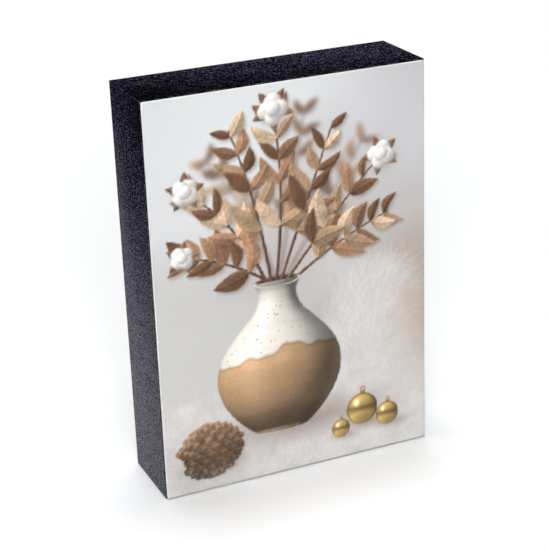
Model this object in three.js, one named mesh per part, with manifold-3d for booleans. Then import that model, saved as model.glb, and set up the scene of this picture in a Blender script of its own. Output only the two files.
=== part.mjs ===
// Wooden photo block: two MDF boards glued into one thick block, pebbled black tape round its edges,
// a printed picture on white card on its front, and two keyhole hangers let into its back.
// Millimetres, +Z up. The picture faces -Y. The origin is the middle of the block's footprint.

import * as THREE from "three";
import { ConvexGeometry } from "three/addons/geometries/ConvexGeometry.js";
import { mergeVertices } from "three/addons/utils/BufferGeometryUtils.js";
import Module from "manifold-3d";

const wasm = await Module();
wasm.setup();

// The block, over its edge tape
const BLOCK_WIDTH = 127;
const BLOCK_HEIGHT = 178;

// Layers, from the picture's face to the back
const LAMINATE_THICKNESS = 0.15;
const PAPER_THICKNESS = 0.25;
const CARD_THICKNESS = 0.7;
const MOUNTING_FILM_THICKNESS = 0.15;
const BOARD_THICKNESS = 18;
const GLUE_THICKNESS = 0.2;
const BACK_SHEET_THICKNESS = 0.5;

// Faces that are stuck together lie this far apart
const SEAT_GAP = 0.02;

// Edge tape, with an eased outer edge
const TAPE_THICKNESS = 0.5;
const TAPE_EASE = 0.2;

// The picture stops short of the block's edges, and its corners are barely rounded
const PICTURE_MARGIN = 0.6;
const PICTURE_CORNER = 0.6;

// Keyhole hangers: steel plates with round ends, flush with the back
const HANGER_LENGTH = 46;
const HANGER_WIDTH = 16;
const HANGER_THICKNESS = 1.5;
const HANGER_EDGE_DISTANCE = 10;
const HANGER_CLEARANCE = 0.3;
const KEYHOLE_ENTRY_RADIUS = 4.75;
const KEYHOLE_SLOT_WIDTH = 5;
const KEYHOLE_TRAVEL = 9;

// The hollow behind a keyhole, for the head of the wall screw
const POCKET_WIDTH = 13;
const POCKET_DEPTH = 8;

// Countersunk screws that hold the hangers
const SCREW_END_DISTANCE = 6;
const SCREW_LENGTH = 12;
const SCREW_HEAD_RADIUS = 2.8;
const SCREW_HEAD_SINK = 0.1;
const SCREW_RIM_HEIGHT = 0.25;
const SCREW_CORE_RADIUS = 1;
const SCREW_TIP_LENGTH = 2;
const SCREW_CLEARANCE = 0.12;
const THREAD_RADIUS = 1.5;
const THREAD_PITCH = 1.35;
const THREAD_RIDGE_WIDTH = 0.95;
const THREAD_START = 2;
const THREAD_ROOT_DEPTH = 0.2;
const CROSS_WIDTH = 3.2;
const CROSS_BLADE = 0.8;
const CROSS_DEPTH = 1.3;
const CROSS_BOTTOM_SHARE = 0.45;

// Rubber bumpers that keep the block off the wall
const BUMPER_RADIUS = 4;
const BUMPER_FACE_RADIUS = 2.6;
const BUMPER_HEIGHT = 1.8;
const BUMPER_EDGE_DISTANCE = 9;

// How far a cutting shape runs past the face that it cuts
const CUT_OVERRUN = 1;

// Facets
const CORNER_STEPS = 4;
const ROUND_STEPS = 24;
const THREAD_STEPS = 10;
const BUMPER_STEPS = 5;

// Finishes
const finish = (color, roughness, metalness = 0) => ({ color, roughness, metalness });
const CLEAR_FILM = finish(0xe4e4e4, 0.3);
const PICTURE = finish(0xd6d4d1, 0.45);
const WHITE_CARD = finish(0xf1f0ec, 0.8);
const GLUE = finish(0xe6dcc0, 0.6);
const BARE_MDF = finish(0xb08a5c, 0.9);
const BLACK_TAPE = finish(0x1d1e27, 0.62);
const BLACK_PAPER = finish(0x17171b, 0.85);
const ZINC_STEEL = finish(0xb9bcc0, 0.38, 1);
const SCREW_STEEL = finish(0xa4a7ab, 0.35, 1);
const RUBBER = finish(0x2b2b2d, 0.7);

// Where each layer starts, along y
const thicknessOf = {
  print_laminate: LAMINATE_THICKNESS,
  photo_print: PAPER_THICKNESS,
  print_card: CARD_THICKNESS,
  mounting_film: MOUNTING_FILM_THICKNESS,
  front_board: BOARD_THICKNESS,
  board_glue: GLUE_THICKNESS,
  rear_board: BOARD_THICKNESS,
  back_sheet: BACK_SHEET_THICKNESS,
};
const frontOf = {};
let stackDepth = 0;
for (const [name, thickness] of Object.entries(thicknessOf)) {
  frontOf[name] = stackDepth;
  stackDepth += thickness + SEAT_GAP;
}
const wholeDepth = stackDepth + BUMPER_HEIGHT;
for (const name of Object.keys(frontOf)) frontOf[name] -= wholeDepth / 2;
const backFace = frontOf.back_sheet + BACK_SHEET_THICKNESS;

const middleHeight = BLOCK_HEIGHT / 2;
const boardWidth = BLOCK_WIDTH - 2 * (TAPE_THICKNESS + SEAT_GAP);
const boardHeight = BLOCK_HEIGHT - 2 * (TAPE_THICKNESS + SEAT_GAP);

// A hanger's own frame: the middle of its plate, with the keyhole's slot pointing up +Z and the
// plate's outer face at y = 0
const keyholeEntry = (KEYHOLE_ENTRY_RADIUS - KEYHOLE_SLOT_WIDTH / 2 - KEYHOLE_TRAVEL) / 2;
const keyholeEnd = keyholeEntry + KEYHOLE_TRAVEL;
const plateEndCentre = (HANGER_LENGTH - HANGER_WIDTH) / 2;
const screwHeight = HANGER_LENGTH / 2 - SCREW_END_DISTANCE;
const headTop = -SCREW_HEAD_SINK;
const headRim = headTop - SCREW_RIM_HEIGHT;

const block = new THREE.Group();

function addPiece(parent, name, geometry, look) {
  const mesh = new THREE.Mesh(geometry, new THREE.MeshStandardMaterial(look));
  mesh.name = name;
  parent.add(mesh);
  return mesh;
}

function toSolid(geometry) {
  const bare = geometry.clone();
  bare.deleteAttribute("normal");
  bare.deleteAttribute("uv");
  const merged = mergeVertices(bare, 1e-5);
  return new wasm.Manifold(
    new wasm.Mesh({
      numProp: 3,
      vertProperties: merged.attributes.position.array,
      triVerts: new Uint32Array(merged.index.array),
    }),
  );
}

function toGeometry(solid) {
  const { vertProperties, triVerts } = solid.getMesh();
  const geometry = new THREE.BufferGeometry();
  geometry.setAttribute("position", new THREE.BufferAttribute(vertProperties, 3));
  geometry.setIndex(new THREE.BufferAttribute(triVerts, 1));
  geometry.computeVertexNormals();
  return geometry;
}

// A solid turned about the y axis, from points of [radius, y]
function turned(profile, steps) {
  return new THREE.LatheGeometry(profile.map(([radius, y]) => new THREE.Vector2(radius, y)), steps);
}

// An outline in x and z, made a solid from y = 0 back to y = thickness
function sheetOf(outline, thickness, curveSegments) {
  const options = { depth: thickness, bevelEnabled: false, curveSegments };
  return new THREE.ExtrudeGeometry(outline, options).rotateX(Math.PI / 2).translate(0, thickness, 0);
}

// A rectangle with round corners, centred on the origin
function roundedRectangle(width, height, radius) {
  const x = width / 2 - radius;
  const y = height / 2 - radius;
  const quarter = Math.PI / 2;
  const shape = new THREE.Shape();
  shape.absarc(x, y, radius, 0, quarter);
  shape.absarc(-x, y, radius, quarter, 2 * quarter);
  shape.absarc(-x, -y, radius, 2 * quarter, 3 * quarter);
  shape.absarc(x, -y, radius, 3 * quarter, 4 * quarter);
  return shape;
}

// A slot with round ends, whose centres are at (0, low) and (0, high)
function roundEndedSlot(low, high, radius) {
  const shape = new THREE.Shape();
  shape.absarc(0, high, radius, 0, Math.PI);
  shape.absarc(0, low, radius, Math.PI, 2 * Math.PI);
  return shape;
}

// The picture: clear laminate, printed paper, white card and the film that sticks it to the block
function addPicture() {
  const width = BLOCK_WIDTH - 2 * PICTURE_MARGIN;
  const height = BLOCK_HEIGHT - 2 * PICTURE_MARGIN;
  const outline = roundedRectangle(width, height, PICTURE_CORNER);
  for (const [name, look] of [
    ["print_laminate", CLEAR_FILM],
    ["photo_print", PICTURE],
    ["print_card", WHITE_CARD],
    ["mounting_film", GLUE],
  ]) {
    const layer = addPiece(block, name, sheetOf(outline, thicknessOf[name], CORNER_STEPS), look);
    layer.position.set(0, frontOf[name], middleHeight);
  }
}

// A box in the stack of boards, in the block's own place
function boardSized(name) {
  const thickness = thicknessOf[name];
  const box = new THREE.BoxGeometry(boardWidth, thickness, boardHeight);
  return box.translate(0, frontOf[name] + thickness / 2, middleHeight);
}

// The boards, the glue between them and the back sheet. The hangers are let into the last two.
function addBoards() {
  addPiece(block, "front_board", boardSized("front_board"), BARE_MDF);
  addPiece(block, "board_glue", boardSized("board_glue"), GLUE);
  const seats = hangerSeats();
  for (const [name, look] of [
    ["rear_board", BARE_MDF],
    ["back_sheet", BLACK_PAPER],
  ]) {
    let sheet = toSolid(boardSized(name));
    for (const seat of seats) sheet = sheet.subtract(seat);
    addPiece(block, name, toGeometry(sheet), look);
  }
}

// A strip of tape that lies on z = 0, with its outer edges eased
function tapeStrip(length, width) {
  const corners = [];
  for (const [inset, height] of [
    [0, 0],
    [0, TAPE_THICKNESS - TAPE_EASE],
    [TAPE_EASE, TAPE_THICKNESS],
  ]) {
    const x = length / 2 - inset;
    const y = width / 2 - inset;
    for (const [sideX, sideY] of [[-1, -1], [1, -1], [1, 1], [-1, 1]]) {
      corners.push(new THREE.Vector3(sideX * x, sideY * y, height));
    }
  }
  return new ConvexGeometry(corners);
}

// Tape covers the edges of the boards and of the back sheet. The top and bottom strips lap the side strips.
function addTape() {
  const width = backFace - frontOf.front_board;
  const side = BLOCK_WIDTH / 2 - TAPE_THICKNESS;
  const end = BLOCK_HEIGHT / 2 - TAPE_THICKNESS;
  for (const [name, length, x, z, turn] of [
    ["left_edge_tape", boardHeight, -side, 0, -Math.PI / 2],
    ["right_edge_tape", boardHeight, side, 0, Math.PI / 2],
    ["top_edge_tape", BLOCK_WIDTH, 0, end, 0],
    ["bottom_edge_tape", BLOCK_WIDTH, 0, -end, Math.PI],
  ]) {
    const strip = addPiece(block, name, tapeStrip(length, width), BLACK_TAPE);
    strip.position.set(x, frontOf.front_board + width / 2, middleHeight + z);
    strip.rotation.y = turn;
  }
}

// The clearance holes and countersinks at both ends of a plate
function plateScrewHoles() {
  const radius = THREAD_RADIUS + SCREW_CLEARANCE;
  const rim = SCREW_HEAD_RADIUS + SCREW_CLEARANCE;
  const seat = headRim - SCREW_CLEARANCE;
  const below = -HANGER_THICKNESS - CUT_OVERRUN;
  const profile = [
    [0, below],
    [radius, below],
    [radius, seat - (rim - radius)],
    [rim, seat],
    [rim, CUT_OVERRUN],
    [0, CUT_OVERRUN],
  ];
  const hole = toSolid(turned(profile, ROUND_STEPS));
  return [-1, 1].map((end) => hole.translate([0, 0, end * screwHeight]));
}

function hangerPlate() {
  const outline = roundEndedSlot(-plateEndCentre, plateEndCentre, HANGER_WIDTH / 2);
  const slot = roundEndedSlot(keyholeEntry, keyholeEnd, KEYHOLE_SLOT_WIDTH / 2);
  const entry = new THREE.Shape().absarc(0, keyholeEntry, KEYHOLE_ENTRY_RADIUS, 0, 2 * Math.PI);
  const cutThickness = HANGER_THICKNESS + 2 * CUT_OVERRUN;
  let plate = toSolid(sheetOf(outline, HANGER_THICKNESS, ROUND_STEPS));
  for (const opening of [slot, entry]) {
    const cut = toSolid(sheetOf(opening, cutThickness, ROUND_STEPS / 2));
    plate = plate.subtract(cut.translate([0, -CUT_OVERRUN, 0]));
  }
  plate = plate.translate([0, -HANGER_THICKNESS, 0]);
  for (const hole of plateScrewHoles()) plate = plate.subtract(hole);
  return plate;
}

// A three-cornered ridge that winds up the shank, from above the tip to just under the head
function screwThread() {
  const lowest = headTop - SCREW_LENGTH + SCREW_TIP_LENGTH;
  const turns = (headTop - THREAD_START - lowest) / THREAD_PITCH;
  const steps = Math.round(turns * THREAD_STEPS);
  const root = SCREW_CORE_RADIUS - THREAD_ROOT_DEPTH;
  const points = [];
  const faces = [];
  for (let step = 0; step <= steps; step++) {
    const angle = (step / THREAD_STEPS) * 2 * Math.PI;
    const height = lowest + (step / THREAD_STEPS) * THREAD_PITCH;
    for (const [radius, rise] of [
      [root, -THREAD_RIDGE_WIDTH / 2],
      [THREAD_RADIUS, 0],
      [root, THREAD_RIDGE_WIDTH / 2],
    ]) {
      points.push(radius * Math.cos(angle), height + rise, radius * Math.sin(angle));
    }
  }
  for (let step = 0; step < steps; step++) {
    for (let corner = 0; corner < 3; corner++) {
      const here = step * 3 + corner;
      const next = step * 3 + ((corner + 1) % 3);
      faces.push(here, next, next + 3, here, next + 3, here + 3);
    }
  }
  const last = steps * 3;
  faces.push(0, 2, 1, last, last + 1, last + 2);
  const ridge = new THREE.BufferGeometry();
  ridge.setAttribute("position", new THREE.Float32BufferAttribute(points, 3));
  ridge.setIndex(faces);
  return toSolid(ridge);
}

// A cross that narrows towards its bottom, for the screwdriver
function crossRecess() {
  const blades = [0, Math.PI / 2].map((turn) => {
    const corners = [];
    for (const [y, share] of [
      [headTop + CUT_OVERRUN, 1],
      [headTop, 1],
      [headTop - CROSS_DEPTH, CROSS_BOTTOM_SHARE],
    ]) {
      const x = (CROSS_WIDTH / 2) * share;
      const z = (CROSS_BLADE / 2) * share;
      for (const [sideX, sideZ] of [[-1, -1], [1, -1], [1, 1], [-1, 1]]) {
        corners.push(new THREE.Vector3(sideX * x, y, sideZ * z));
      }
    }
    return toSolid(new ConvexGeometry(corners).rotateY(turn));
  });
  return blades[0].add(blades[1]);
}

function hangerScrew() {
  const tip = headTop - SCREW_LENGTH;
  const profile = [
    [0, tip],
    [SCREW_CORE_RADIUS, tip + SCREW_TIP_LENGTH],
    [SCREW_CORE_RADIUS, headRim - (SCREW_HEAD_RADIUS - SCREW_CORE_RADIUS)],
    [SCREW_HEAD_RADIUS, headRim],
    [SCREW_HEAD_RADIUS, headTop],
    [0, headTop],
  ];
  const shank = toSolid(turned(profile, ROUND_STEPS));
  return shank.add(screwThread()).subtract(crossRecess());
}

// What a hanger takes out of the back sheet and the rear board: the plate's recess, the pocket
// behind the keyhole and the screws' holes
function hangerSeat() {
  const recessRadius = HANGER_WIDTH / 2 + HANGER_CLEARANCE;
  const recessDepth = HANGER_THICKNESS + SEAT_GAP;
  const recess = roundEndedSlot(-plateEndCentre, plateEndCentre, recessRadius);
  const pocketDepth = recessDepth + POCKET_DEPTH;
  const pocket = roundEndedSlot(keyholeEntry, keyholeEnd, POCKET_WIDTH / 2);
  const holeRadius = THREAD_RADIUS + SCREW_CLEARANCE;
  const holeDepth = SCREW_HEAD_SINK + SCREW_LENGTH + SCREW_CLEARANCE;
  const holeProfile = [
    [0, -holeDepth],
    [holeRadius, -holeDepth],
    [holeRadius, 0],
    [0, 0],
  ];

  let seat = toSolid(sheetOf(recess, recessDepth + CUT_OVERRUN, ROUND_STEPS));
  seat = seat.translate([0, -recessDepth, 0]);
  seat = seat.add(toSolid(sheetOf(pocket, pocketDepth, ROUND_STEPS)).translate([0, -pocketDepth, 0]));
  const hole = toSolid(turned(holeProfile, ROUND_STEPS));
  for (const end of [-1, 1]) seat = seat.add(hole.translate([0, 0, end * screwHeight]));
  return seat;
}

// One hanger near the top edge for upright pictures, and one near the right edge for wide ones
const hangerInset = HANGER_EDGE_DISTANCE + HANGER_LENGTH / 2;
const hangerPlaces = [
  { name: "top", x: 0, z: BLOCK_HEIGHT - hangerInset, turn: 0 },
  { name: "side", x: BLOCK_WIDTH / 2 - hangerInset, z: middleHeight, turn: Math.PI / 2 },
];

function hangerSeats() {
  const seat = hangerSeat();
  return hangerPlaces.map(({ x, z, turn }) =>
    seat.rotate([0, THREE.MathUtils.radToDeg(turn), 0]).translate([x, backFace, z]),
  );
}

function addHangers() {
  const plate = toGeometry(hangerPlate());
  const screw = toGeometry(hangerScrew());
  for (const { name, x, z, turn } of hangerPlaces) {
    const hanger = new THREE.Group();
    hanger.position.set(x, backFace, z);
    hanger.rotation.y = turn;
    addPiece(hanger, `${name}_hanger_plate`, plate, ZINC_STEEL);
    addPiece(hanger, `${name}_hanger_outer_screw`, screw, SCREW_STEEL).position.z = screwHeight;
    addPiece(hanger, `${name}_hanger_inner_screw`, screw, SCREW_STEEL).position.z = -screwHeight;
    block.add(hanger);
  }
}

// A low round pad with its foot at y = 0, whose side curves in to a flat face
function bumperPad() {
  const profile = [[0, 0]];
  for (let step = 0; step <= BUMPER_STEPS; step++) {
    const angle = ((step / BUMPER_STEPS) * Math.PI) / 2;
    const radius = BUMPER_FACE_RADIUS + (BUMPER_RADIUS - BUMPER_FACE_RADIUS) * Math.cos(angle);
    profile.push([radius, BUMPER_HEIGHT * Math.sin(angle)]);
  }
  profile.push([0, BUMPER_HEIGHT]);
  return turned(profile, ROUND_STEPS);
}

function addBumpers() {
  const x = BLOCK_WIDTH / 2 - BUMPER_EDGE_DISTANCE;
  const z = BLOCK_HEIGHT / 2 - BUMPER_EDGE_DISTANCE;
  for (const [name, sideX, sideZ] of [
    ["top_left_bumper", -1, 1],
    ["top_right_bumper", 1, 1],
    ["bottom_left_bumper", -1, -1],
    ["bottom_right_bumper", 1, -1],
  ]) {
    const bumper = addPiece(block, name, bumperPad(), RUBBER);
    bumper.position.set(sideX * x, backFace + SEAT_GAP, middleHeight + sideZ * z);
  }
}

addPicture();
addBoards();
addTape();
addHangers();
addBumpers();

export default block;
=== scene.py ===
# %% [markdown]
# # A thick photo block with pebbled black edges
#
# The real object is a block of fibreboard, as thick as two fingers are wide, that stands on its own
# on a shelf. A picture on white card is fixed to its front, black tape with a pebbled grain covers its
# four edges, and two keyhole hangers are let into its back.
#
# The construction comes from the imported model, at its real size. This lesson gives it its looks: the
# tape's grain as real relief, the picture as colours painted on a fine mesh, and a finish for each
# material. Everything is in metres, and each finished piece has its place in its mesh.

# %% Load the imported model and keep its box
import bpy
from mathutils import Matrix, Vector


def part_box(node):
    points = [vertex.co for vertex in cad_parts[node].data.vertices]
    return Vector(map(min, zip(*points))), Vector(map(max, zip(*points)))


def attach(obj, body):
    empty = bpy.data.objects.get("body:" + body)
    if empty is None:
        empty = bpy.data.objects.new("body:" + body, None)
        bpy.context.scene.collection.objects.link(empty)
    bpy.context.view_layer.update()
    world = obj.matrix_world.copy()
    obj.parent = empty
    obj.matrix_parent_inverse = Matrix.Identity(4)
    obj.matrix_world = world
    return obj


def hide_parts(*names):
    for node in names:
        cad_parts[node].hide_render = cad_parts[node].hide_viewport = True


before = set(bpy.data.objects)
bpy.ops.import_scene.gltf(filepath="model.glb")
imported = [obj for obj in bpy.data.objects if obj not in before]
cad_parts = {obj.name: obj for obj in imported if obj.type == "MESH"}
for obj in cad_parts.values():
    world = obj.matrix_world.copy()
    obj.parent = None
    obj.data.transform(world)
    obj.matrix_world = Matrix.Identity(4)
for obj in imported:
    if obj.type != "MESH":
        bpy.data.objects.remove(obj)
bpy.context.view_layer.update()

# %% [markdown]
# ## The camera
#
# The block was photographed from its front left, a little above, with a long lens. The camera is placed
# by angles round a point near the block's middle, because angles are what a photograph gives away: its
# azimuth and elevation show in how much of the side and the top is seen. A small roll remains, because
# the block's upright edges lean a little in the photograph.

# %% Place the camera
from math import cos, pi, radians, sin, tau

import bpy
import numpy as np
from mathutils import Euler, Quaternion, Vector

MM = 0.001
CAMERA_AZIMUTH = radians(-23.108)
CAMERA_ELEVATION = radians(21.89)
CAMERA_ROLL = radians(-2.206)
CAMERA_DISTANCE = 708.32 * MM
CAMERA_AIM = Vector((-0.74, 0, 86.163)) * MM
CAMERA_LENS = 106.56


def direction(azimuth, elevation):
    """From the block towards a camera or lamp: azimuth 0 is straight in front, and grows to the right"""
    level = cos(elevation)
    return Vector((sin(azimuth) * level, -cos(azimuth) * level, sin(elevation)))


towards_camera = direction(CAMERA_AZIMUTH, CAMERA_ELEVATION)
bpy.ops.object.camera_add(location=CAMERA_AIM + towards_camera * CAMERA_DISTANCE)
camera = bpy.context.object
camera.name = "photo_camera"
camera.data.lens = CAMERA_LENS
camera.data.clip_start = 10 * MM
camera_turn = (-towards_camera).to_track_quat("-Z", "Y") @ Quaternion((0, 0, 1), CAMERA_ROLL)
camera.rotation_euler = camera_turn.to_euler()
bpy.context.scene.camera = camera
bpy.context.scene.view_settings.view_transform = "Standard"
print("camera stands at", [round(value, 3) for value in camera.location])

# %% [markdown]
# ## Small helpers for shader nodes
#
# Every finish below is a short chain of nodes. Four helpers keep those chains readable: one adds a node
# and feeds its inputs, one does a sum, one starts a new finish, and one ends it with its colour and its
# fine relief. A value that is the same all over a surface is set on the shader's own socket.

# %% Node helpers
SHADER_SOCKETS = {
    "roughness": "Roughness",
    "metallic": "Metallic",
    "specular": "Specular IOR Level",
    "sheen": "Sheen Weight",
}


def add_node(tree, kind, values=(), **settings):
    """A node of a kind with its settings, and for each input a fixed value or an output to read"""
    made = tree.nodes.new("ShaderNode" + kind)
    for name, value in settings.items():
        setattr(made, name, value)
    for socket, value in dict(values).items():
        if isinstance(value, bpy.types.NodeSocket):
            tree.links.new(value, made.inputs[socket])
        else:
            made.inputs[socket].default_value = value
    return made


def calc(tree, operation, *values):
    """A Math node on outputs or numbers"""
    return add_node(tree, "Math", dict(enumerate(values)), operation=operation).outputs[0]


def new_finish(name, **values):
    """A material whose fixed values are set on its shader's own sockets, and its node tree"""
    finish = bpy.data.materials.new(name)
    finish.use_nodes = True
    shader = finish.node_tree.nodes["Principled BSDF"]
    for word, value in values.items():
        shader.inputs[SHADER_SOCKETS[word]].default_value = value
    return finish, finish.node_tree


def complete(finish, colour, height, depth):
    """Join to a finish its colour, and the fine relief of what is too small to model"""
    tree = finish.node_tree
    shader = tree.nodes["Principled BSDF"]
    relief = add_node(tree, "Bump", {"Height": height, "Distance": depth, "Strength": 1.0})
    tree.links.new(colour, shader.inputs["Base Color"])
    tree.links.new(relief.outputs["Normal"], shader.inputs["Normal"])
    return finish


print("node helpers ready, with shader words:", ", ".join(SHADER_SOCKETS))

# %% [markdown]
# ## The table
#
# The photograph shows the block on plain white, with a soft shade round its sides and foot. The camera
# and mirror-like surfaces see a matt white floor that takes the block's shade; the lamps light it to just
# above plain white, so even the faintest shade shows. All other rays meet a plain grey floor, which sends
# a little light back up to the block.

# %% The floor
FLOOR_WIDTH = 6.0
FLOOR_GAP = 0.05 * MM
FLOOR_COLOUR = (0.5, 0.5, 0.51, 1)
FLOOR_WHITE = (0.985, 0.993, 1.0, 1)


def seen_directly(tree):
    """1 for rays from the camera, a mirror or a clear film, and 0 for all others"""
    path = add_node(tree, "LightPath").outputs
    either = calc(tree, "MAXIMUM", path["Is Camera Ray"], path["Is Glossy Ray"])
    return calc(tree, "MAXIMUM", either, path["Is Transmission Ray"])


def two_looks(owner, kind, output, for_light, when_seen):
    """Give a material or world one shader for the light, and another wherever it is seen directly"""
    owner.use_nodes = True
    tree = owner.node_tree
    tree.nodes.clear()
    plain, seen = (add_node(tree, kind, values).outputs[0] for values in (for_light, when_seen))
    mix = add_node(tree, "MixShader", {0: seen_directly(tree), 1: plain, 2: seen})
    add_node(tree, output, {"Surface": mix.outputs[0]})


bpy.ops.mesh.primitive_plane_add(size=FLOOR_WIDTH, location=(0, 0, -FLOOR_GAP))
floor = bpy.context.object
floor.name = "studio_floor"
white_table = bpy.data.materials.new("white_table")
two_looks(white_table, "BsdfDiffuse", "OutputMaterial", {"Color": FLOOR_COLOUR}, {"Color": FLOOR_WHITE})
floor.data.materials.append(white_table)
print("floor is", FLOOR_WIDTH, "m wide")

# %% [markdown]
# ## The light
#
# The studio is plain and soft. A wide key lamp stands behind the camera, so the picture is lit evenly
# and the long shadow falls behind the block, with only its soft rim in sight on both sides. A second
# lamp, high up and a little behind, lays the short soft shade in front of the block's foot, and a third,
# high up in front, fills in. All three are sun lamps, because their light is the same all over the table.
#
# Five more lamps do one thing each, and light linking lets each one reach only the pieces it is for. In
# the photograph the black side grows lighter towards the table and the black top towards its far right
# corner, which a low lamp on the left and a strip over the back arris do, while the two high lamps leave
# out the tape. A third brings out the white cut edge of the picture. The last two light the right side,
# with the white edge there, and the back, for whoever turns the block.

# %% The world
WORLD_FILL = 0.05
WHITE = (1, 1, 1, 1)

world = bpy.data.worlds.new("studio")
bpy.context.scene.world = world
dim, white = ({"Color": WHITE, "Strength": strength} for strength in (WORLD_FILL, 1.0))
two_looks(world, "Background", "OutputWorld", dim, white)
print("the world fills with", WORLD_FILL, "and looks white")

# %% Light linking
light_groups = {}


def light_group(word):
    """The collection that says which pieces some lamps light, made when it is first asked for"""
    if word not in light_groups:
        light_groups[word] = bpy.data.collections.new("light_on_" + word)
    return light_groups[word]


def let_light(word, *pieces, state="INCLUDE"):
    """Say that lamps of a group light these pieces alone, or with EXCLUDE that they light all others"""
    for piece in pieces:
        group = light_group(word)
        group.objects.link(piece)
        group.collection_objects[-1].light_linking.link_state = state


print("light linking ready")

# %% Lamp helpers
def add_lamp(name, kind, power, place, aim, lights=None):
    """A lamp that the camera doesn't see, turned to its aim, for all pieces or those of one group"""
    bpy.ops.object.light_add(type=kind, location=place)
    lamp = bpy.context.object
    lamp.name = name
    lamp.data.energy = power
    lamp.rotation_euler = (Vector(aim) - Vector(place)).to_track_quat("-Z", "Y").to_euler()
    lamp.visible_camera = False
    if lights:
        lamp.light_linking.receiver_collection = light_group(lights)
    print(name, "lights", lights or "everything")
    return lamp


def add_sun(name, strength, azimuth, elevation, spread, lights=None):
    """A sun lamp, its direction and the spread of its light in degrees"""
    place = direction(radians(azimuth), radians(elevation))
    add_lamp(name, "SUN", strength, place, (0, 0, 0), lights).data.angle = radians(spread)


def add_panel(name, watts, place, aim, size, lights):
    """A soft rectangular lamp, its place, aim and size in millimetres"""
    panel = add_lamp(name, "AREA", watts, Vector(place) * MM, Vector(aim) * MM, lights)
    panel.data.shape = "RECTANGLE"
    panel.data.size, panel.data.size_y = (side * MM for side in size)


print("lamp helpers ready")

# %% Place the lamps
add_sun("key_lamp", strength=2.61, azimuth=-22.5, elevation=22.4, spread=30)
add_sun("overhead_lamp", strength=1.54, azimuth=172, elevation=80, spread=20, lights="all_but_tape")
add_sun("fill_lamp", strength=0.60, azimuth=-17, elevation=72, spread=22, lights="all_but_tape")
# These two lamps give part of the tape's lighter foot and far corner; the rest is painted sheen and
# painted shade in the tape's colour.
low_place, low_aim = (-169, 140, 130), (-63.5, 100, -85)
add_panel("low_lamp", watts=1.65, place=low_place, aim=low_aim, size=(120, 120), lights="tape")
strip_place, strip_aim = (3.5, 17.7, 208.6), (6, 30.2, 178)
add_panel("strip_lamp", watts=0.064, place=strip_place, aim=strip_aim, size=(160, 16), lights="tape")
add_sun("edge_lamp", strength=1.3, azimuth=-93.08, elevation=21.13, spread=10, lights="white_edge")
add_sun("right_lamp", strength=1.5, azimuth=95, elevation=4, spread=10, lights="right_side")
add_sun("back_lamp", strength=1.5, azimuth=150, elevation=35, spread=10, lights="back")

# %% [markdown]
# ## Patterns that the finishes share
#
# Real materials are never one colour. Soft noise gives clouds, fibres and grain, and cell noise gives
# pebbles. All of them read the object's own coordinates, in metres, so a size here is a real size on
# the block, and the pattern stays on the surface from every side.

# %% Pattern helpers
def object_point(tree, stretch=(1, 1, 1)):
    """The place on the object, stretched along its axes for a pattern with a run"""
    place = add_node(tree, "TexCoord").outputs["Object"]
    return add_node(tree, "Mapping", {"Vector": place, "Scale": stretch}).outputs["Vector"]


def axes(tree, point):
    """The three parts of a place: to the right, to the back and up"""
    return tuple(add_node(tree, "SeparateXYZ", {"Vector": point}).outputs)


def clouds(tree, point, size, detail=2.0, roughness=0.5):
    """Soft noise, from 0 to 1, whose patches are about this size"""
    values = {"Vector": point, "Scale": 1 / size, "Detail": detail, "Roughness": roughness}
    return add_node(tree, "TexNoise", values).outputs["Fac"]


def pebbles(tree, point, size):
    """Distance to the middle of the nearest cell"""
    return add_node(tree, "TexVoronoi", {"Vector": point, "Scale": 1 / size}).outputs["Distance"]


def share_between(tree, value, start, end):
    """0 where a value is at its start, 1 at its end and a smooth rise between"""
    values = {"Value": value, "From Min": start, "From Max": end}
    return add_node(tree, "MapRange", values, interpolation_type="SMOOTHSTEP").outputs["Result"]


def product(tree, value, *others):
    """A value multiplied by others, each an output or a number"""
    for other in others:
        value = calc(tree, "MULTIPLY", value, other)
    return value


print("pattern helpers ready")

# %% Colour helpers
def grey(tone):
    return (tone, tone, tone)


def ramp(tree, value, *stops):
    """A colour for each value: the stops are pairs of a place from 0 to 1 and a colour"""
    made = add_node(tree, "ValToRGB", {"Fac": value})
    elements = made.color_ramp.elements
    while len(elements) < len(stops):
        elements.new(0.5)
    for element, (place, colour) in zip(elements, stops):
        element.position = place
        element.color = (*colour, 1)
    return made.outputs["Color"]


def mix_colours(tree, share, first, second, how="MIX"):
    """Two colours, each an output or fixed, mixed by a share"""
    first, second = ((*colour, 1) if isinstance(colour, tuple) else colour for colour in (first, second))
    values = {0: share, 6: first, 7: second}
    return add_node(tree, "Mix", values, data_type="RGBA", blend_type=how).outputs[2]


def shaded(tree, colour, shade, share=1.0):
    """A colour multiplied by a shade"""
    return mix_colours(tree, share, colour, shade, "MULTIPLY")


print("colour helpers ready")

# %% [markdown]
# ## Black edge tape
#
# The block's edges are wrapped in a matt black tape, embossed with a fine irregular grain like bookbinding
# cloth. The grain is 0.5 to 1 mm across, a little longer from front to back, and shows as a bluish
# salt-and-pepper speckle painted into the colour: painted glints and shade for each pebble's lit and dark
# flank. Towards the table the grain is grey, partly dust and partly a painted sheen of light from the
# white table, and half-way up a little more painted light lies towards the back. The corner at the top,
# left and front is painted darker, a painted shade beside the picture's edge.
#
# A bump map alone would leave the outline and the arrises smooth, so the larger pebbles are real relief in
# the mesh, and the finish adds the finer grain on top. Where things lie on the tape is told by spans: a
# share rises smoothly from 0 at a span's start to 1 at its end, and shares multiplied pick out a corner.

# %% Dust and painted sheen, painted shade and wear on the tape
# Painted sheen: the grey towards the table is partly dust and partly painted light from the white table.
DUST_AND_SHEEN_SPAN = (150 * MM, 8 * MM)
BACK_PAINTED_SHEEN = 0.22
BACK_SHEEN_SPAN = (1 * MM, 17 * MM)
BACK_SHEEN_ABOVE = (75 * MM, 105 * MM)
BACK_SHEEN_BELOW = (172 * MM, 140 * MM)
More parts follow.
